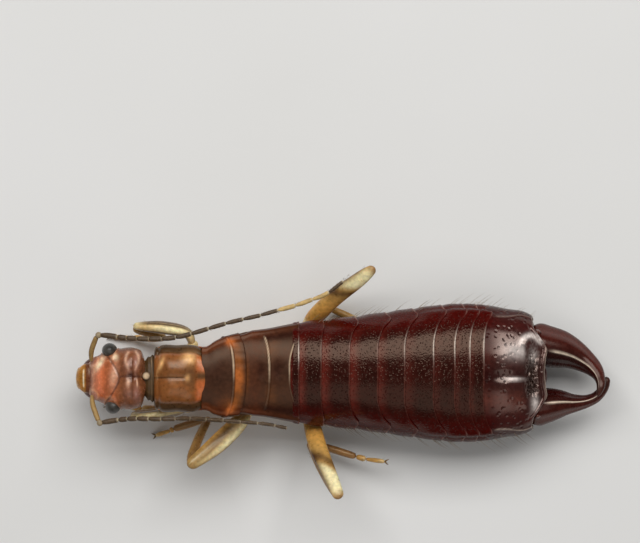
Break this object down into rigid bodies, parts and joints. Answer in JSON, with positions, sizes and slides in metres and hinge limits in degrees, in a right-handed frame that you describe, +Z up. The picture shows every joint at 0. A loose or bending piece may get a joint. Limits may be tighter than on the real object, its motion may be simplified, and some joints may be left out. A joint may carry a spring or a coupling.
{
  "type": "earwig",
  "caption": "Life-size still model of a wingless earwig at rest, with long flattened abdomen, folded legs, swept-back feelers and uneven curved pincers at the tail.",
  "frame": {"origin": "centre of the bounding box at floor level, under the middle of the animal", "axes": "+X from the head towards the forceps, +Y to the animal's right side, +Z up from the floor"},
  "size_m": [0.0168, 0.0076, 0.0033],
  "materials": {
    "mahogany": "dark red-brown horny plates, satin, finely pitted",
    "glossy_mahogany": "dark red-brown horny plates, smooth and shiny",
    "orange_brown": "orange-brown horny plates, half translucent",
    "dark_brown": "dark brown horny plates, satin",
    "red_brown": "red-brown head shell, shiny",
    "pale_yellow": "pale yellow horny cover, half translucent",
    "leg_yellow": "yellow legs with dark bands, satin",
    "grey_brown": "grey-brown feelers, finely haired",
    "eye": "dark grey compound eyes, fine facets",
    "membrane": "soft pale skin of the neck"
  },
  "bodies": {
    "root": {"head": "red_brown", "clypeus": "pale_yellow", "labrum": "pale_yellow", "antenna_left_scape": "pale_yellow", "antenna_right_scape": "pale_yellow", "coxa_fore_left": "pale_yellow", "tarsus_fore_left": "pale_yellow", "coxa_fore_right": "pale_yellow", "tarsus_fore_right": "pale_yellow", "coxa_mid_left": "pale_yellow", "tarsus_mid_left": "pale_yellow", "coxa_mid_right": "pale_yellow", "tarsus_mid_right": "pale_yellow", "coxa_hind_left": "pale_yellow", "tarsus_hind_left": "pale_yellow", "coxa_hind_right": "pale_yellow", "tarsus_hind_right": "pale_yellow", "labium": "orange_brown", "maxilla_left": "orange_brown", "maxilla_right": "orange_brown", "prothorax": "orange_brown", "neck": "membrane", "eye_left": "eye", "eye_right": "eye", "mandible_left": "dark_brown", "mandible_right": "dark_brown", "mesothorax": "dark_brown", "metathorax": "dark_brown", "antenna_left_flagellum_1": "grey_brown", "antenna_left_flagellum_2": "grey_brown", "antenna_left_flagellum_3": "grey_brown", "antenna_right_flagellum_1": "grey_brown", "antenna_right_flagellum_2": "grey_brown", "antenna_right_flagellum_3": "grey_brown", "femur_fore_left": "leg_yellow", "tibia_fore_left": "leg_yellow", "femur_fore_right": "leg_yellow", "tibia_fore_right": "leg_yellow", "femur_mid_left": "leg_yellow", "tibia_mid_left": "leg_yellow", "femur_mid_right": "leg_yellow", "tibia_mid_right": "leg_yellow", "femur_hind_left": "leg_yellow", "tibia_hind_left": "leg_yellow", "femur_hind_right": "leg_yellow", "tibia_hind_right": "leg_yellow", "abdomen": "mahogany", "last_tergite": "glossy_mahogany", "forceps_right": "glossy_mahogany", "forceps_left": "glossy_mahogany"}
  },
  "joints": []
}
